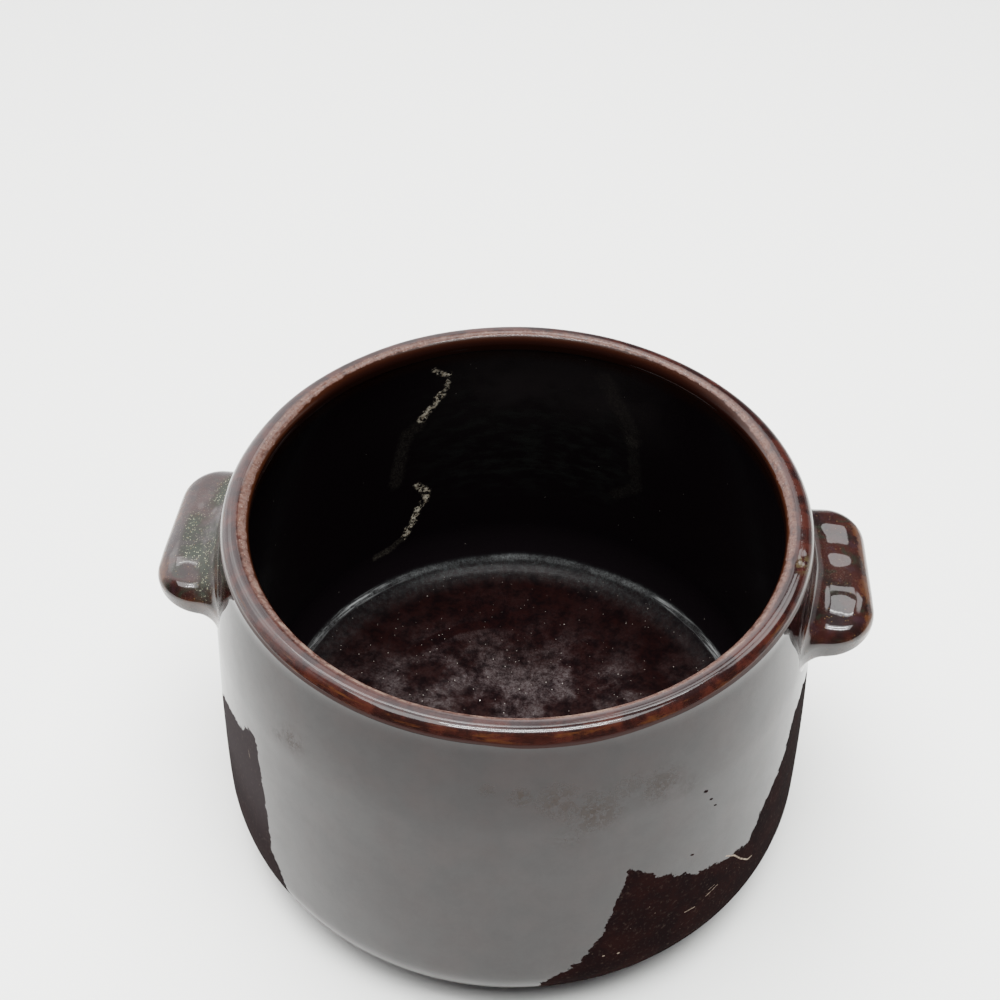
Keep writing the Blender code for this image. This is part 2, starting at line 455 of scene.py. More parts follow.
def potProfile():
    size = potSize
    profile = [(radius, size["baseHeight"]) for radius in size["baseRings"]]
    cornerRadius = size["bellyRadius"] - size["corner"]
    profile += arcPoints(cornerRadius, size["bellyHeight"], size["corner"], -90, 0, size["bendSpans"])
    for step in range(1, size["outsideSpans"] + 1):
        share = (step / size["outsideSpans"]) ** size["spacing"]
        height = size["bellyHeight"] + (size["seatHeight"] - size["bellyHeight"]) * share
        profile.append((wallRadius(height), height))
    across, down = size["seatBevel"]
    profile.append((insideRadius(size["seatHeight"]) + across, size["seatHeight"]))
    top = size["seatHeight"] - down
    filletTop = size["floorHeight"] + size["fillet"]
    for step in range(size["insideSpans"]):
        height = top + (filletTop - top) * step / size["insideSpans"]
        profile.append((insideRadius(height), height))
    filletRadius = wallLine(filletTop) - size["wall"] - size["fillet"]
    profile += arcPoints(filletRadius, filletTop, size["fillet"], 0, -90, size["bendSpans"])
    return profile + [(radius, size["floorHeight"]) for radius in size["floorRings"]]


pot = turnOnWheel("pot_shell", potProfile(), potSize["steps"])
unevenClay(pot, "thrown wall", potSize["unevenGrain"], potSize["unevenDepth"])
applyModifiers(pot)
leanMouth(pot)
smoothShade(pot, 60)
print("pot body turned:", len(pot.data.polygons), "faces")


# Rim: rolled bead with a worn inner edge

rimSize = {
    "centre": (0.0780, 0.1180),  # of the rolled section, from the axis and up
    "round": 0.0041,
    "crease": 12,  # degrees above level where the roll meets the wall
    "inside": 170,
    "spans": 36,
    "outerSeat": (0.0812, 0.1184),  # the underside, out of sight on the wall
    "innerSeat": ((0.0741, 0.1168), (0.0778, 0.1164)),
    "steps": 384,
    # azimuth, radius, reach, depth
    "chips": (
        (-12.4, 0.0770, 0.0011, 0.0005),
        (-14.0, 0.0786, 0.0009, 0.0004),
        (-11.2, 0.0790, 0.0008, 0.0004),
    ),
    "chipHeight": 0.1217,
    "chipSteepness": 0.08,  # a chip is pushed in towards a point this far down on the axis
    "sag": (-93, -84, -74, -56),  # degrees between which the roll hangs a little over the wall
    "sagFrom": 0.0805,  # from this radius, full after the next
    "sagFull": 0.0819,
    "sagDepth": 0.0006,
    "sagSwell": 0.003,
    "unevenGrain": 0.03,
    "unevenDepth": 0.00025,
}


def rimProfile():
    size = rimSize
    away, up = size["centre"]
    roll = arcPoints(away, up, size["round"], size["crease"], size["inside"], size["spans"])
    return [size["outerSeat"]] + roll + list(size["innerSeat"]) + [size["outerSeat"]]


rim = turnOnWheel("rim_roll", rimProfile(), rimSize["steps"])
for azimuth, radius, reach, depth in rimSize["chips"]:
    chip = Vector((radius * cos(radians(azimuth)), radius * sin(radians(azimuth)), rimSize["chipHeight"]))
    for vertex in rim.data.vertices:
        nearness = 1 - (vertex.co - chip).length / (2 * reach)
        if nearness > 0:
            push = Vector((-chip.x, -chip.y, -rimSize["chipSteepness"])).normalized()
            vertex.co += push * depth * nearness
start, whole, less, end = rimSize["sag"]
for vertex in rim.data.vertices:
    turned = degrees(atan2(vertex.co.y, vertex.co.x))
    share = min((turned - start) / (whole - start), (end - turned) / (end - less), 1.0)
    out = hypot(vertex.co.x, vertex.co.y) - rimSize["sagFrom"]
    low = min(out / (rimSize["sagFull"] - rimSize["sagFrom"]), 1.0)
    if share > 0 and low > 0:
        vertex.co.z -= rimSize["sagDepth"] * share * share * (3 - 2 * share) * low
        swell = 1 + rimSize["sagSwell"] * share * low
        vertex.co.x *= swell
        vertex.co.y *= swell
unevenClay(rim, "rolled rim", rimSize["unevenGrain"], rimSize["unevenDepth"])
applyModifiers(rim)
leanMouth(rim)
smoothShade(rim, 60)
print("rim rolled:", len(rim.data.polygons), "faces")


# Foot ring: bare clay that the pot stands on

footSize = {
    "inner": 0.0579,
    "outer": 0.0659,
    "top": 0.0027,
    "round": 0.0009,
    "flare": 0.0004,
    # turning lines in the standing face: radius, height
    "lines": (
        (0.0634, 0.0), (0.0626, 0.00012), (0.0618, 0.0), (0.0606, 0.00010), (0.0598, 0.0),
    ),
    "steps": 192,
}


def footProfile():
    size = footSize
    bend = size["round"]
    profile = [(size["outer"] + size["flare"], size["top"])]
    profile += arcPoints(size["outer"] - bend, bend, bend, 0, -90, 5)
    profile += size["lines"]
    profile += arcPoints(size["inner"] + bend, bend, bend, -90, -180, 5)
    return profile + [(size["inner"] - size["flare"], size["top"]), profile[0]]


foot = turnOnWheel("foot_band", footProfile(), footSize["steps"])
smoothShade(foot, 40)
print("foot ring turned:", len(foot.data.polygons), "faces")


# Lugs: solid blocks luted to the wall, one at each side

lugSize = {
    "halfLength": 0.0257,
    "top": 0.1052,
    "bottom": 0.0925,
    "underLift": 0.0037,  # the underside rises towards the tip
    "frontDrop": 0.0048,  # the top sinks towards the lug's front end
    "dropFrom": 0.004,
    "dropPower": 2.3,
    "corner": 0.0129,
    "topRound": 0.0066,
    "frontRound": 0.0040,
    "underRound": 0.0036,
    "roundLimits": (0.56, 0.40),  # what the top's and the underside's round may take of the height
    "rootFillet": 0.0055,
    "topDip": 0.0006,
    "bedding": 0.00035,  # the fillet's foot lies this deep in the wall
    "sink": 0.0009,
    "humpsFrom": 0.0965,  # only what is above this height moves, and fully from the next
    "humpsFull": 0.1015,
    # name, side, reach, corner in front, tilt: the right one's top falls a little towards the back
    "right": ("lug_right", 1, 0.0154, 0.0118, 0.022),
    "left": ("lug_left", -1, 0.0151, 0.0115, 0.0),
    # gentle humps left by the thumbs: along the lug, out from the axis, half length,
    # half width, height
    "leftHumps": (
        (0.0080, 0.0905, 0.0056, 0.0048, 0.00046),
        (-0.0130, 0.0915, 0.0058, 0.0056, 0.00026),
    ),
    "rightHumps": (
        (0.0155, 0.0905, 0.0042, 0.0060, 0.00022),
        (0.0035, 0.0915, 0.0050, 0.0058, 0.00030),
        (-0.0100, 0.0915, 0.0060, 0.0066, 0.00030),
    ),
}


def halfOutline(half, top, bottom, grow, dip, topRound):
    topLimit, underLimit = lugSize["roundLimits"]
    topRound = min(topRound + grow, topLimit * (top - bottom), half)
    underRound = min(lugSize["underRound"] + grow, underLimit * (top - bottom), half)
    topSpans = 24
    spans = 12
    outline = []
    for step in range(topSpans):
        share = step / topSpans
        outline.append((share * (half - topRound), top - dip * (1 - share**2) ** 2))
    outline += arcPoints(half - topRound, top - topRound, topRound, 90, 0, spans)
    outline += arcPoints(half - underRound, bottom + underRound, underRound, 0, -90, spans)
    for step in range(1, spans + 1):
        share = 1 - step / spans
        outline.append((share * (half - underRound), bottom))
    return outline


def frontSink(y, z):
    size = lugSize
    forward = max(0.0, (-y - size["dropFrom"]) / (size["halfLength"] - size["dropFrom"]))
    upward = (z - size["bottom"]) / (size["top"] - size["bottom"])
    return size["frontDrop"] * forward ** size["dropPower"] * min(max(upward, 0.0), 1.0)


def wholeOutline(half, top, bottom, grow, dip):
    back = halfOutline(half, top, bottom, grow, dip, lugSize["topRound"])
    front = halfOutline(half, top, bottom, grow, dip, lugSize["frontRound"])
    front = [(-y, z) for y, z in reversed(front[1:-1])]
    return [(y, z - frontSink(y, z)) for y, z in back + front]


def onWall(y, z, out):
    return Vector((sqrt(wallRadius(z) ** 2 - y**2) + out, y, z))


def lugRings(reach, frontCorner):
    size = lugSize
    rings = []
    spans = 9
    for step in range(-1, spans + 1):  # the first ring is sunk into the wall
        angle = pi / 2 * max(step, 0) / spans
        grow = size["rootFillet"] * (1 - sin(angle))
        out = size["rootFillet"] * (1 - cos(angle)) - size["bedding"] * (1 - sin(angle))
        if step < 0:
            out -= size["sink"]
        outline = wholeOutline(
            size["halfLength"] + grow, size["top"] + grow, size["bottom"] - grow, grow, size["topDip"]
        )
        rings.append([onWall(y, z, out) for y, z in outline])
    neck = rings[-1]
    tip = wallRadius((size["top"] + size["bottom"]) / 2) + reach
    face = wholeOutline(
        size["halfLength"] - size["corner"],
        size["top"] - size["topRound"],
        size["bottom"] + size["underRound"],
        0.0,
        0.0,
    )
    tighter = (size["halfLength"] - frontCorner) / (size["halfLength"] - size["corner"])
    face = [(y * (tighter if y < 0 else 1), z) for y, z in face]
    bends = []
    for point, (faceY, faceZ) in zip(neck, face):
        inset = max(abs(point.y - faceY), abs(point.z - faceZ))
        bends.append(min(inset, tip - point.x))
    straightSpans = 7
    spans = 20
    for step in range(1 - straightSpans, spans + 1):
        angle = pi / 2 * max(step, 0) / spans
        straight = min((step + straightSpans) / straightSpans, 1.0)
        ring = []
        for point, (faceY, faceZ), bend in zip(neck, face, bends):
            x = point.x + (tip - bend - point.x) * straight + bend * sin(angle)
            y = faceY + (point.y - faceY) * cos(angle)
            z = faceZ + (point.z - faceZ) * cos(angle)
            low = min(max((size["top"] - z) / (size["top"] - size["bottom"]), 0.0), 1.0)
            z += size["underLift"] * low * (x - point.x) / (tip - point.x)
            ring.append(Vector((x, y, z)))
        rings.append(ring)
    return rings


def raiseHumps(lug, humps, tilt):
    start, end = lugSize["humpsFrom"], lugSize["humpsFull"]
    for vertex in lug.data.vertices:
        share = min(max((vertex.co.z - start) / (end - start), 0.0), 1.0)
        vertex.co.z -= share * tilt * vertex.co.y
        for along, out, halfLong, halfWide, height in humps:
            away = hypot((vertex.co.y - along) / halfLong, (abs(vertex.co.x) - out) / halfWide)
            if away < 1:
                vertex.co.z += share * height * (1 + cos(pi * away)) / 2


def buildLug(name, side, reach, frontCorner, tilt, humps):
    rings = lugRings(reach, frontCorner)
    deselectAll()
    bpy.ops.mesh.primitive_circle_add(vertices=len(rings[0]), radius=0.02, location=(0, 0, 0))
    lug = bpy.context.object
    lug.name = name
    for vertex, place in zip(lug.data.vertices, rings[0]):
        vertex.co = place
    for ring in rings[1:]:
        count = len(lug.data.vertices)
        bpy.ops.object.mode_set(mode="EDIT")
        bpy.ops.mesh.extrude_edges_move(TRANSFORM_OT_translate={"value": (0.001, 0, 0)})
        bpy.ops.object.mode_set(mode="OBJECT")
        for vertex, place in zip(list(lug.data.vertices)[count:], ring):
            vertex.co = place
    bpy.ops.object.mode_set(mode="EDIT")
    for scale in (0.75, 0.5, 0.25):
        bpy.ops.mesh.extrude_edges_move(TRANSFORM_OT_translate={"value": (0, 0, 0)})
        bpy.ops.transform.resize(value=(1, scale, scale))
    bpy.ops.mesh.merge(type="CENTER")
    bpy.ops.object.mode_set(mode="OBJECT")
    for vertex in lug.data.vertices:
        vertex.co.x *= side
    raiseHumps(lug, humps, tilt)
    makeActive(lug)
    bpy.ops.object.transform_apply(location=True, rotation=True, scale=True)
    return lug


rightLug = buildLug(*lugSize["right"], lugSize["rightHumps"])
leftLug = buildLug(*lugSize["left"], lugSize["leftHumps"])
for lug in (leftLug, rightLug):
    closeUp(lug)
    smoothShade(lug, 80)
print("lugs luted on:", len(leftLug.data.polygons), "faces each")


# Finishes: brown glaze outside

outsideGlaze = {
    "brown": (0.0050, 0.0020, 0.0022, 1.0),
    "redBrown": (0.0095, 0.0030, 0.0026, 1.0),
    "dusty": (0.029, 0.024, 0.025, 1.0),
    "smear": (0.046, 0.037, 0.032, 1.0),
    "scratchTan": (0.42, 0.33, 0.26, 1.0),
    "gloss": 0.80,
    "dullGloss": 0.02,
    "perDegree": 1.5,  # millimetres of wall for one degree
    # degrees round the pot, millimetres up, millimetres across, strength
    "smears": (
        (-84.5, 102, 4.5, 1.0), (-78, 100, 9, 0.85), (-72, 94, 12, 0.8), (-60, 97, 10, 0.65),
        (-127.5, 96, 7, 0.55), (-131, 93, 4, 0.45), (-66, 100, 9, 0.4), (-90, 104, 4, 0.4),
        (-76, 86, 8, 0.3), (-55, 92, 7, 0.3),
    ),
    "pits": (
        (-50.7, 85.9, 0.7), (-49.3, 81.2, 0.5), (-48.2, 77.4, 0.4), (-52.7, 61.4, 0.5),
        (-50.5, 51.2, 0.4),
    ),
    "scratches": (
        (((-43.8, 48.9), (-41.3, 45.4), (-39.1, 40.2), (-36.6, 35.5), (-35.1, 34.7)), 0.32),
        (((-48.2, 36.1), (-45.3, 37.6)), 0.14),
        (((-47.6, 38.4), (-46.2, 38.9)), 0.12),
        (((-53.0, 34.9), (-50.7, 34.5)), 0.15),
        (((-69.2, 29.8), (-69.0, 29.8)), 0.30),
        (((-66.4, 29.0), (-66.2, 29.1)), 0.32),
        (((-142.2, 71.0), (-141.6, 68.0)), 0.1),
    ),
    # low areas where the glaze has gone dull: degrees round the pot, millimetres up
    "rightDull": (
        (-82, 0), (-80.4, 20), (-77.4, 24), (-74.7, 27.7), (-72.8, 31), (-71.3, 36),
        (-69.8, 40.5), (-68.4, 47.8), (-67.4, 55), (-66.3, 61), (-65.3, 67.3), (-64, 65.8),
        (-61.4, 62.6), (-58.7, 58), (-53.5, 54), (-51, 50.4), (-47.7, 50.2), (-43, 47),
        (-38.6, 45.5), (-35.3, 47.3), (-34, 53), (-30, 57.6), (-25.4, 65), (-22, 76), (-17, 80),
        (-8, 76), (4, 60), (16, 30), (24, 0),
    ),
    "leftDull": (
        (-178, 0), (-168, 50), (-158, 68), (-153, 72.4), (-148.9, 74.5), (-144, 76.7),
        (-142.2, 80.5), (-138.9, 81.8), (-138.3, 77.8), (-137.6, 68.9), (-136.7, 56.8),
        (-136.3, 44.4), (-135.9, 33.6), (-133.7, 28), (-132, 19.8), (-130, 6), (-128, 0),
    ),
}

outside, tree, shader = startMaterial(
    "glaze_outside", roughness=0.45, coat=1.0, coatRoughness=0.03, shine=0.0, ior=1.45
)
where = useGroup(tree, potPlace)
place = where["Place"]
wobble = swinging(tree, noiseAt(tree, place, 420, 4, 0.7), 2.6)
ragged = swinging(tree, noiseAt(tree, place, 300, 5, 0.7), 0.0075)
azimuth = maths(tree, "ADD", where["Azimuth"], wobble)
rightEdge = heightCurve(tree, azimuth, outsideGlaze["rightDull"])
leftEdge = heightCurve(tree, azimuth, outsideGlaze["leftDull"])
edge = highest(tree, rightEdge, leftEdge)
above = maths(tree, "SUBTRACT", maths(tree, "ADD", where["Height"], ragged), edge)
shiny = between(tree, above, -0.0002, 0.0003)
streaks = stretchedNoise(tree, where, 0.22, "Height", 14.0, 3, 0.6)
streaks = between(tree, streaks, 0.3, 0.7, 0.975, 1.0)
fine = noiseAt(tree, place, 900, 3, 0.65)
redBrown = between(tree, noiseAt(tree, place, 95, 4, 0.6), 0.35, 0.7)
# painted reflection: lighter grey in the dull patch at the left, more of it higher up
dullLeft = times(
    tree,
    between(tree, where["Azimuth"], -110, -125),
    inverted(tree, shiny),
    between(tree, where["Height"], 0.030, 0.060, 0.35, 1.0),
)
perDegree = outsideGlaze["perDegree"]
flat = rolledOut(tree, where, perDegree)
smears = 0.0
for azimuth, height, reach, depth in outsideGlaze["smears"]:
    away = vectorMaths(tree, "DISTANCE", flat, (azimuth * perDegree, height, 0))
    smears = highest(tree, smears, between(tree, away, reach, 0.0, 0.0, depth))
smears = times(
    tree,
    smears,
    between(tree, fine, 0.32, 0.58),
    between(tree, noiseAt(tree, place, 260, 4, 0.7), 0.36, 0.52),
)
pits = 0.0
for azimuth, height, width in outsideGlaze["pits"]:
    shortLine = ((azimuth, height), (azimuth + 0.4, height - 0.4))
    pits = highest(tree, pits, strokes(tree, where, perDegree, shortLine, width))
pale = 0.0
for line, width in outsideGlaze["scratches"]:
    pale = highest(tree, pale, strokes(tree, where, perDegree, line, width))
pale = times(tree, pale, between(tree, fine, 0.3, 0.6, 0.2, 0.9))
grains = specksAt(tree, place, scale=1100, size=0.20, rarity=0.988)
grains = highest(tree, times(tree, grains, 0.22), between(tree, fine, 0.54, 0.76, 0.0, 0.045))
pale = highest(tree, pale, times(tree, grains, inverted(tree, shiny)))
colour = layOver(tree, outsideGlaze["brown"], outsideGlaze, redBrown=redBrown, dusty=dullLeft)
colour = layOver(tree, colour, outsideGlaze, smear=smears, scratchTan=pale)
plug(tree, colour, shader["Base Color"])
clouded = between(tree, noiseAt(tree, place, 170, 4, 0.65), 0.34, 0.62, 0.95, 1.0)
clouded = times(tree, clouded, between(tree, fine, 0.34, 0.60, 0.965, 1.0))
gloss = times(tree, shiny, streaks, clouded, outsideGlaze["gloss"])
spoilt = highest(tree, times(tree, smears, 0.9), pits, pale)
gloss = times(tree, gloss, inverted(tree, spoilt))
plug(tree, highest(tree, gloss, outsideGlaze["dullGloss"]), shader["Coat Weight"])
ripple = useGroup(tree, glazeRipple, Place=place, Waves=0.00005, Skin=0.000006)["Height"]
raiseSurface(tree, shader, ripple)

# Glaze inside

insideGlaze = {
    "wall": (0.0024, 0.0016, 0.0021, 1.0),
    "floor": (0.0062, 0.0018, 0.0016, 1.0),
    "floorDark": (0.0022, 0.0010, 0.0012, 1.0),
    "haze": (0.056, 0.047, 0.047, 1.0),
    "band": (0.024, 0.029, 0.029, 1.0),
    "rim": (0.0072, 0.0018, 0.0008, 1.0),
    "speck": (0.42, 0.38, 0.34, 1.0),
    "wornRing": (0.24, 0.25, 0.25, 1.0),
    "paintedGlint": (0.74, 0.68, 0.54, 1.0),
    "paintedGlintBrown": (0.16, 0.10, 0.05, 1.0),
    "film": (0.0065, 0.0072, 0.0066, 1.0),
    "mist": (0.0105, 0.0085, 0.0088, 1.0),
    # painted glints: reflections drawn on the wall as pale broken runs; points in degrees round
    # and millimetres up, then width, strength and how broken
    "runs": (
        (((114.5, 110.3), (112.5, 108.4), (110.4, 107.4)), 1.3, 0.9, 1.0),
        (((110.4, 107.4), (111.4, 101.4), (113.5, 97.0)), 1.0, 0.5, 1.0),
        (((112.6, 98.8), (115.5, 93.2), (117.6, 89.5)), 1.9, 0.85, 1.0),
        (((118.6, 86.5), (121.3, 84.8), (122.9, 77.3), (124.0, 69.2), (124.6, 62.7)), 3.4, 0.032, 0.0),
        (((118.8, 58.1), (116.7, 54.0), (116.7, 50.9)), 1.8, 0.85, 1.0),
        (((116.7, 50.9), (118.9, 45.9), (120.6, 39.6), (122.9, 33.7)), 1.5, 0.9, 1.0),
        (((122.9, 33.7), (127.0, 30.6), (131.1, 29.9)), 1.8, 0.06, 0.2),
        (((72.4, 108.1), (68.9, 98.3), (67.6, 95.8), (64.6, 84.7)), 4.4, 0.022, 0.0),
        (((64.6, 84.7), (63.8, 70.9), (63.0, 63.1), (68.5, 55.3)), 3.0, 0.018, 0.0),
    ),
    "perDegree": 1.35,
    "toolMark": 0.0490,  # radius of the dark stroke on the floor
}

inside, tree, shader = startMaterial(
    "glaze_inside", roughness=0.5, coat=0.22, coatRoughness=0.2, shine=0.0
)
where = useGroup(tree, potPlace)
place = where["Place"]
azimuth, height = where["Azimuth"], where["Height"]
grain = noiseAt(tree, place, 1900, 3, 0.8)
fine = noiseAt(tree, place, 620, 5, 0.8)
flecks = noiseAt(tree, place, 240, 4, 0.7)
patches = noiseAt(tree, place, 62, 4, 0.6)
lowDown = between(tree, height, 0.021, 0.0155)
colour = layOver(tree, insideGlaze["floorDark"], insideGlaze, floor=between(tree, flecks, 0.3, 0.65))
colour = blendColour(tree, lowDown, insideGlaze["wall"], colour)
speckled = times(
    tree, between(tree, fine, 0.32, 0.70, 0.2, 1.0), between(tree, grain, 0.32, 0.68, 0.35, 1.0)
)
nearer = between(tree, where["Y"], 0.052, 0.014, 0.24, 1.25)
haze = times(
    tree,
    between(tree, patches, 0.40, 0.60, 0.12, 1.0),
    between(tree, flecks, 0.34, 0.62, 0.25, 1.0),
    speckled,
    nearer,
    lowDown,
)
middle = maths(tree, "ADD", where["Radius"], times(tree, flecks, 0.008))
haze = times(tree, haze, between(tree, middle, 0.062, 0.048, 0.30, 1.0))
fromMark = maths(tree, "ABSOLUTE", maths(tree, "SUBTRACT", where["Radius"], insideGlaze["toolMark"]))
fromMark = maths(tree, "ADD", fromMark, swinging(tree, flecks, 0.003))
toolMark = within(tree, azimuth, 88, 100, 134, 146)
toolMark = times(tree, toolMark, between(tree, fromMark, 0.0030, 0.0014))
haze = times(tree, haze, between(tree, toolMark, 0.0, 1.0, 1.0, 0.1))
ringWaver = swinging(tree, noiseAt(tree, place, 30, 2), 0.0016)
ringRadius = maths(tree, "ADD", where["Radius"], ringWaver)
lowWall = between(tree, height, 0.027, 0.024)
atBack = between(tree, azimuth, 30, 75, 0.35, 1.0)
atBack = times(tree, atBack, between(tree, azimuth, 150, 115, 0.45, 1.0))
# painted reflection of the lamps: a grey-green band on the back of the floor's fillet
band = times(
    tree,
    within(tree, ringRadius, 0.0665, 0.0752, 0.0768, 0.0784),
    between(tree, flecks, 0.3, 0.65, 0.35, 1.0),
    speckled,
    lowWall,
    atBack,
)
fibres = between(tree, stretchedNoise(tree, where, 0.09, "Radius", 1300.0, 3, 0.7), 0.44, 0.66)
onSides = highest(tree, between(tree, azimuth, 118, 132), between(tree, azimuth, 58, 50))
fibres = times(tree, fibres, onSides)
thinLine = within(tree, ringRadius, 0.0754, 0.0766, 0.0770, 0.0779)
along = noiseAt(tree, vectorFrom(tree, times(tree, azimuth, 0.06), 0.0), 1.0, 2)
along = between(tree, along, 0.38, 0.62, 0.3, 1.0)
wornRing = times(tree, highest(tree, fibres, times(tree, speckled, 0.35)), thinLine, along, lowWall)
film = between(tree, stretchedNoise(tree, where, 0.16, "Height", 260.0, 4, 0.65), 0.42, 0.70)
film = times(tree, film, within(tree, azimuth, 58, 72, 100, 128))
film = times(tree, film, within(tree, height, 0.040, 0.065, 0.100, 0.114))
mist = times(
    tree,
    between(tree, height, 0.078, 0.100),
    between(tree, patches, 0.30, 0.62, 0.2, 1.0),
    within(tree, azimuth, 48, 72, 98, 118),
)
colour = layOver(
    tree, colour, insideGlaze, haze=haze, band=band, wornRing=wornRing, film=film, mist=mist
)
# painted reflections: pale glints laid into the inner wall's colour
paintedGlint = blendColour(
    tree, between(tree, grain, 0.40, 0.52), insideGlaze["paintedGlintBrown"], insideGlaze["paintedGlint"]
)
clumps = between(tree, fine, 0.47, 0.56)
for points, width, strength, broken in insideGlaze["runs"]:
    glintMask = strokes(tree, where, insideGlaze["perDegree"], points, width, wander=3.0)
    texture = clumps if broken > 0.5 else speckled
    colour = blendColour(tree, times(tree, glintMask, texture, strength), colour, paintedGlint)
nearRim = between(tree, height, 0.1105, 0.1158)
nearRim = times(tree, nearRim, between(tree, flecks, 0.3, 0.6, 0.5, 1.0))
bigGrains = specksAt(tree, place, scale=340, size=0.085, rarity=0.974)
smallGrains = specksAt(tree, place, scale=900, size=0.16, rarity=0.90)
smallGrains = times(tree, smallGrains, between(tree, patches, 0.35, 0.65, 0.1, 0.6))
onFloor = times(tree, highest(tree, bigGrains, smallGrains), lowDown)
onFloor = times(tree, onFloor, between(tree, where["Y"], 0.060, 0.015, 0.3, 1.0))
onWalls = times(tree, specksAt(tree, place, scale=600, size=0.12, rarity=0.985), 0.16)
colour = layOver(tree, colour, insideGlaze, rim=nearRim, speck=highest(tree, onFloor, onWalls))
plug(tree, colour, shader["Base Color"])
plug(tree, between(tree, height, 0.040, 0.028, 0.3, 0.06), shader["Coat Weight"])
ripple = useGroup(tree, glazeRipple, Place=place, Waves=0.00012, Skin=0.00001)["Height"]
raiseSurface(tree, shader, ripple)

# Glaze on the rim, thin and orange where it has run off the edge

rimGlaze = {
    "brown": (0.0070, 0.0020, 0.0017, 1.0),
    "redBrown": (0.026, 0.0062, 0.0038, 1.0),
    "orange": (0.056, 0.019, 0.0048, 1.0),
    "dark": (0.0060, 0.0012, 0.0005, 1.0),
    "crease": (0.017, 0.0044, 0.0030, 1.0),
    "worn": (0.110, 0.066, 0.055, 1.0),
    "wornRed": (0.074, 0.033, 0.024, 1.0),
    "wornPale": (0.26, 0.19, 0.15, 1.0),
    "bruise": (0.032, 0.021, 0.009, 1.0),
    "innerEdge": (0.032, 0.0090, 0.0024, 1.0),
    "innerBack": (0.0130, 0.0032, 0.0008, 1.0),
    "turningDepth": 0.00034,
}

rimMaterial, tree, shader = startMaterial(
    "glaze_rim", roughness=0.4, coat=0.95, coatRoughness=0.03, shine=0.08, ior=1.6
)
where = useGroup(tree, potPlace)
place = where["Place"]
lumps = noiseAt(tree, place, 150, 4, 0.6)
flecks = noiseAt(tree, place, 420, 3, 0.65)
fine = noiseAt(tree, place, 1300, 3, 0.7)
turning = stretchedNoise(tree, where, 0.035, "Outward", 7.5, 3, 0.7)
atBack = between(tree, where["Y"], 0.015, 0.055)
runs = stretchedNoise(tree, where, 0.14, "Outward", 5.0, 4, 0.65)
outerBand = times(
    tree,
    between(tree, where["Outward"], 0.5, 0.62),
    between(tree, runs, 0.50, 0.72, 0.04, 0.85),
    between(tree, flecks, 0.3, 0.6, 0.5, 1.0),
)
redBrown = between(tree, lumps, 0.4, 0.62)
crease = between(tree, where["Outward"], 0.86, 0.91)
colour = layOver(
    tree, rimGlaze["brown"], rimGlaze, redBrown=redBrown, orange=outerBand, crease=crease
)
leftSide = between(tree, maths(tree, "ABSOLUTE", where["Azimuth"]), 105, 165)
ragged = swinging(tree, flecks, 0.9)
wornFrom = maths(tree, "ADD", times(tree, leftSide, 0.16), times(tree, turning, 0.35))
backAndRagged = maths(tree, "MULTIPLY_ADD", atBack, 0.25, times(tree, ragged, 0.2))
wornFrom = maths(tree, "ADD", wornFrom, backAndRagged)
inward = times(tree, where["Outward"], -1.0)
wornEdge = between(tree, maths(tree, "ADD", inward, wornFrom), 0.42, 0.78)
innerLimit = maths(tree, "MULTIPLY_ADD", atBack, -0.28, 0.86)
innerLimit = maths(tree, "ADD", innerLimit, times(tree, ragged, 0.3))
innerSide = between(tree, maths(tree, "SUBTRACT", inward, innerLimit), -0.07, 0.03)
wornEdge = times(tree, wornEdge, inverted(tree, innerSide))
wornColour = blendColour(tree, between(tree, fine, 0.36, 0.60), rimGlaze["wornRed"], rimGlaze["worn"])
wornMask = times(tree, wornEdge, between(tree, flecks, 0.30, 0.56, 0.35, 1.0))
colour = blendColour(tree, wornMask, colour, wornColour)
innerColour = blendColour(tree, atBack, rimGlaze["innerEdge"], rimGlaze["innerBack"])
deepBack = times(tree, atBack, between(tree, inward, 0.62, 0.97))
deepest = between(tree, where["Height"], 0.1202, 0.1187)
innerColour = blendColour(tree, deepBack, innerColour, rimGlaze["dark"])
innerColour = blendColour(tree, deepest, innerColour, rimGlaze["dark"])
colour = blendColour(tree, innerSide, colour, innerColour)
bruise = times(
    tree,
    within(tree, where["Azimuth"], -16.5, -14.0, -11.5, -9.5),
    between(tree, where["Outward"], -0.2, 0.1),
)
bruiseBrown = times(tree, bruise, between(tree, flecks, 0.48, 0.54))
bruisePale = times(tree, bruise, between(tree, fine, 0.58, 0.66, 0.0, 0.35))
colour = layOver(tree, colour, rimGlaze, bruise=bruiseBrown, wornPale=bruisePale)
grit = specksAt(tree, place, scale=1700, size=0.26, rarity=0.82)
colour = layOver(tree, colour, rimGlaze, wornPale=times(tree, grit, wornEdge, 0.6))
nicks = times(
    tree,
    between(tree, inward, 0.40, 0.54),
    between(tree, lumps, 0.50, 0.58),
    between(tree, inward, 0.84, 0.70),
    between(tree, where["Y"], -0.025, -0.055, 0.0, 0.35),
)
colour = layOver(tree, colour, rimGlaze, wornPale=nicks)
plug(tree, colour, shader["Base Color"])
backOuter = times(tree, atBack, between(tree, where["Outward"], -0.1, 0.3))
gloss = between(tree, wornMask, 0.0, 1.0, 0.95, 0.3)
gloss = maths(tree, "SUBTRACT", gloss, times(tree, backOuter, 0.75))
gloss = times(
    tree,
    gloss,
    between(tree, turning, 0.34, 0.56, 0.6, 1.0),
    between(tree, crease, 0.0, 1.0, 1.0, 0.12),
    between(tree, times(tree, atBack, innerSide), 0.0, 1.0, 1.0, 0.18),
)
plug(tree, highest(tree, gloss, 0.04), shader["Coat Weight"])
plug(tree, between(tree, wornMask, 0.0, 1.0, 0.3, 0.5), shader["Roughness"])
ripple = useGroup(tree, glazeRipple, Place=place, Waves=0.0001, Skin=0.000014)["Height"]
raiseSurface(tree, shader, maths(tree, "MULTIPLY_ADD", turning, rimGlaze["turningDepth"], ripple))

# Glaze on the lugs

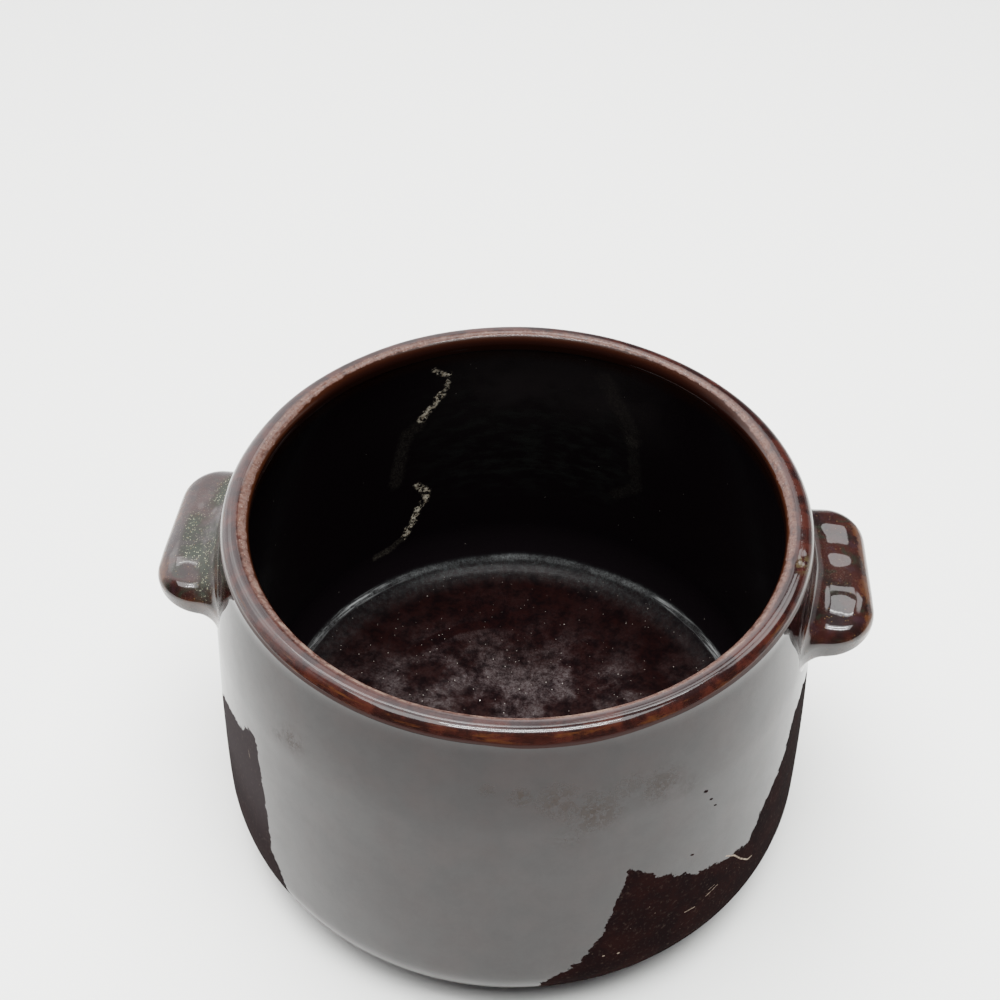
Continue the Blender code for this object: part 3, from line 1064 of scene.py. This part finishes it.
lugGlaze = {
    "brown": (0.0050, 0.0017, 0.0015, 1.0),
    "redBrown": (0.017, 0.0042, 0.0028, 1.0),
    "green": (0.0075, 0.0085, 0.0050, 1.0),
    "plum": (0.014, 0.0052, 0.0068, 1.0),
    "orange": (0.058, 0.019, 0.0048, 1.0),
    "dust": (0.026, 0.030, 0.024, 1.0),
    "grain": (0.32, 0.31, 0.22, 1.0),
    "gold": (0.20, 0.12, 0.04, 1.0),
    "dustAt": -0.0055,  # the middle of the dust on the left lug, along the wall
}

lugMaterial, tree, shader = startMaterial(
    "glaze_lugs", roughness=0.4, coat=0.95, coatRoughness=0.03, shine=0.08, ior=1.6
)
where = useGroup(tree, potPlace)
place = where["Place"]
lumps = noiseAt(tree, place, 120, 4, 0.6)
blots = noiseAt(tree, place, 190, 3, 0.6, twist=0.8)
flecks = noiseAt(tree, place, 520, 3, 0.65)
fine = noiseAt(tree, place, 1500, 3, 0.7)
patchyOut = maths(tree, "ADD", swinging(tree, lumps, 0.010), where["Radius"])
tipEdge = between(tree, patchyOut, 0.0978, 0.1000)
lowEdge = between(tree, where["Upward"], 0.70, 0.30)
thin = highest(tree, tipEdge, times(tree, lowEdge, between(tree, lumps, 0.38, 0.62, 0.08, 0.5)))
thin = times(tree, thin, between(tree, flecks, 0.3, 0.62, 0.25, 0.9))
leftness = between(tree, where["X"], -0.01, 0.01, 1.0, 0.05)
middle = maths(tree, "ABSOLUTE", maths(tree, "SUBTRACT", where["Y"], lugGlaze["dustAt"]))
middle = between(tree, middle, 0.013, 0.004)
middle = times(tree, middle, between(tree, where["Radius"], 0.0968, 0.0925))
valley = between(tree, where["Radius"], 0.0922, 0.0880, 0.06, 0.7)
dust = useGroup(tree, settledDust, Place=place, Amount=2.2, Grain=2600.0)["Mask"]
dust = times(tree, dust, leftness, highest(tree, valley, middle))
colour = layOver(
    tree,
    lugGlaze["brown"],
    lugGlaze,
    redBrown=between(tree, lumps, 0.4, 0.62),
    green=between(tree, blots, 0.54, 0.68, 0.0, 0.8),
    plum=between(tree, blots, 0.44, 0.32, 0.0, 0.8),
    orange=thin,
    dust=dust,
    grain=times(tree, specksAt(tree, place, scale=2600, size=0.32, rarity=0.74), dust),
    gold=times(tree, specksAt(tree, place, scale=1600, size=0.22, rarity=0.90), 0.35),
)
plug(tree, colour, shader["Base Color"])
gloss = between(tree, dust, 0.0, 0.8, 0.95, 0.12)
plug(tree, times(tree, gloss, between(tree, fine, 0.3, 0.5, 0.85, 1.0)), shader["Coat Weight"])
ripple = useGroup(tree, glazeRipple, Place=place, Waves=0.00014, Skin=0.000010)["Height"]
raiseSurface(tree, shader, ripple)

# Bare clay under the pot and on the foot

clay = {
    "buff": (0.46, 0.33, 0.22, 1.0),
    "iron": (0.20, 0.11, 0.06, 1.0),
    "grime": (0.13, 0.10, 0.08, 1.0),
    "turningDepth": 0.00012,
    "gritDepth": 0.00004,
}

clayMaterial, tree, shader = startMaterial(
    "bare_clay", roughness=0.85, coat=0.0, coatRoughness=0.3, shine=0.3
)
where = useGroup(tree, potPlace)
place = where["Place"]
patchy = between(tree, noiseAt(tree, place, 60, 5, 0.6), 0.35, 0.7)
specked = specksAt(tree, place, scale=700, size=0.2, rarity=0.8)
colour = layOver(tree, clay["buff"], clay, iron=patchy, grime=specked)
plug(tree, colour, shader["Base Color"])
turning = noiseAt(tree, vectorFrom(tree, times(tree, where["Radius"], 900.0), 0.0), 1.0, 2)
grit = times(tree, noiseAt(tree, place, 1500, 3, 0.7), clay["gritDepth"])
relief = maths(tree, "MULTIPLY_ADD", turning, clay["turningDepth"], grit)
raiseSurface(tree, shader, relief)

# Materials onto the pieces

for material in (outside, inside, clayMaterial):
    pot.data.materials.append(material)
for face in pot.data.polygons:
    height = face.center.z
    radius = hypot(face.center.x, face.center.y)
    if height < potSize["bareTop"] and radius < potSize["bareRadius"]:
        face.material_index = 2
    elif height > potSize["insideFrom"] and radius < wallLine(height) - potSize["wall"] / 2:
        face.material_index = 1
rim.data.materials.append(rimMaterial)
foot.data.materials.append(clayMaterial)
for lug in (leftLug, rightLug):
    lug.data.materials.append(lugMaterial)
print("glazes on")


# Scene: pale floor, soft light, camera

studio = {
    "floorSize": 6,
    "floorColour": (0.80, 0.81, 0.79, 1.0),
    "room": (0.050, 0.050, 0.055, 1.0),  # the room is dim in front and to the right
    "ceiling": (2.2, 2.08, 2.12, 1.0),  # pale behind and to the left
    "window": (3.6, 3.5, 3.5, 1.0),
    "backdrop": (2.0, 2.0, 2.0, 1.0),  # what shows past the floor's edge in low views
    # round windows: direction, cosine at the edge, cosine where it is full
    "spots": (((-0.60, 0.42, 0.68), 0.955, 0.985), ((0.50, 0.45, 0.74), 0.975, 0.990)),
    "lamps": (
        # name, place, width, length, watts, seen in the glaze
        ("fill_softbox", (0.0, 0.0, 1.6), 1.6, 1.6, 60, False),
        ("front_softbox", (0.0, -0.30, 1.5), 1.5, 0.56, 12, True),
        ("back_softbox", (-0.1, 0.52, 1.5), 1.3, 0.36, 6, True),
        ("strip_one", (0.0, 0.40, 1.47), 1.1, 0.035, 1.5, True),
        ("strip_two", (0.1, -0.20, 1.47), 0.8, 0.025, 5, True),
        ("strip_three", (0.1, -0.42, 1.47), 0.8, 0.025, 5, True),
    ),
    "lens": 50.1,
    "cameraPlace": (0.0192, -0.2790, 0.3871),
    "cameraTurn": (46.46, -0.20, 4.99),
}

deselectAll()
bpy.ops.mesh.primitive_plane_add(size=studio["floorSize"], location=(0, 0, 0))
floor = bpy.context.object
floor.name = "pale_floor"
floorMaterial, tree, shader = startMaterial(
    "pale_floor", roughness=0.7, coat=0.0, coatRoughness=0.3, shine=0.2
)
shader["Base Color"].default_value = studio["floorColour"]
floor.data.materials.append(floorMaterial)

world = bpy.data.worlds.new("studio")
bpy.context.scene.world = world
world.use_nodes = True
tree = world.node_tree
direction = addNode(tree, "ShaderNodeTexCoord").outputs["Generated"]
lookX, lookY, lookZ = partsOf(tree, direction)
backward = between(tree, lookY, -0.09, 0.12)
leftward = between(tree, lookX, 0.05, -0.10, 0.0, 0.9)
horizon = between(tree, lookZ, 0.36, 0.20, 0.0, 0.2)
paleness = times(tree, highest(tree, leftward, horizon), backward)
leftWall = times(tree, between(tree, lookX, -0.60, -0.72, 0.0, 0.4), between(tree, lookY, -0.36, -0.06))
room = blendColour(tree, highest(tree, paleness, leftWall), studio["room"], studio["ceiling"])
steepness = maths(tree, "SUBTRACT", lookZ, lookY)
panel = times(
    tree,
    within(tree, steepness, -0.02, 0.02, 0.24, 0.30),
    within(tree, lookX, -0.02, 0.04, 0.28, 0.36),
    backward,
)
room = blendColour(tree, panel, room, studio["window"])
for towards, edge, core in studio["spots"]:
    aimed = vectorMaths(tree, "DOT_PRODUCT", direction, Vector(towards).normalized())
    room = blendColour(tree, between(tree, aimed, edge, core), room, studio["window"])
seenDirectly = addNode(tree, "ShaderNodeLightPath").outputs["Is Camera Ray"]
plug(tree, blendColour(tree, seenDirectly, room, studio["backdrop"]), tree.nodes["Background"].inputs[0])

for name, place, width, length, watts, seenInGlaze in studio["lamps"]:
    lamp = bpy.data.lights.new(name, "AREA")
    lamp.shape = "RECTANGLE"
    lamp.size = width
    lamp.size_y = length
    lamp.energy = watts
    holder = bpy.data.objects.new(name, lamp)
    holder.location = place
    holder.visible_glossy = seenInGlaze
    bpy.context.collection.objects.link(holder)

bpy.context.scene.view_settings.view_transform = "Filmic"
bpy.context.scene.view_settings.look = "None"
print("studio lit")

for piece in (pot, rim, foot, leftLug, rightLug):
    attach(piece, "root")
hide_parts("pot_body")
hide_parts("rim_bead")
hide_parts("foot_ring")
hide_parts("left_lug")
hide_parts("right_lug")

camera = bpy.data.objects.new("camera", bpy.data.cameras.new("camera"))
bpy.context.collection.objects.link(camera)
camera.data.lens = studio["lens"]
camera.location = studio["cameraPlace"]
camera.rotation_euler = [radians(angle) for angle in studio["cameraTurn"]]
bpy.context.scene.camera = camera
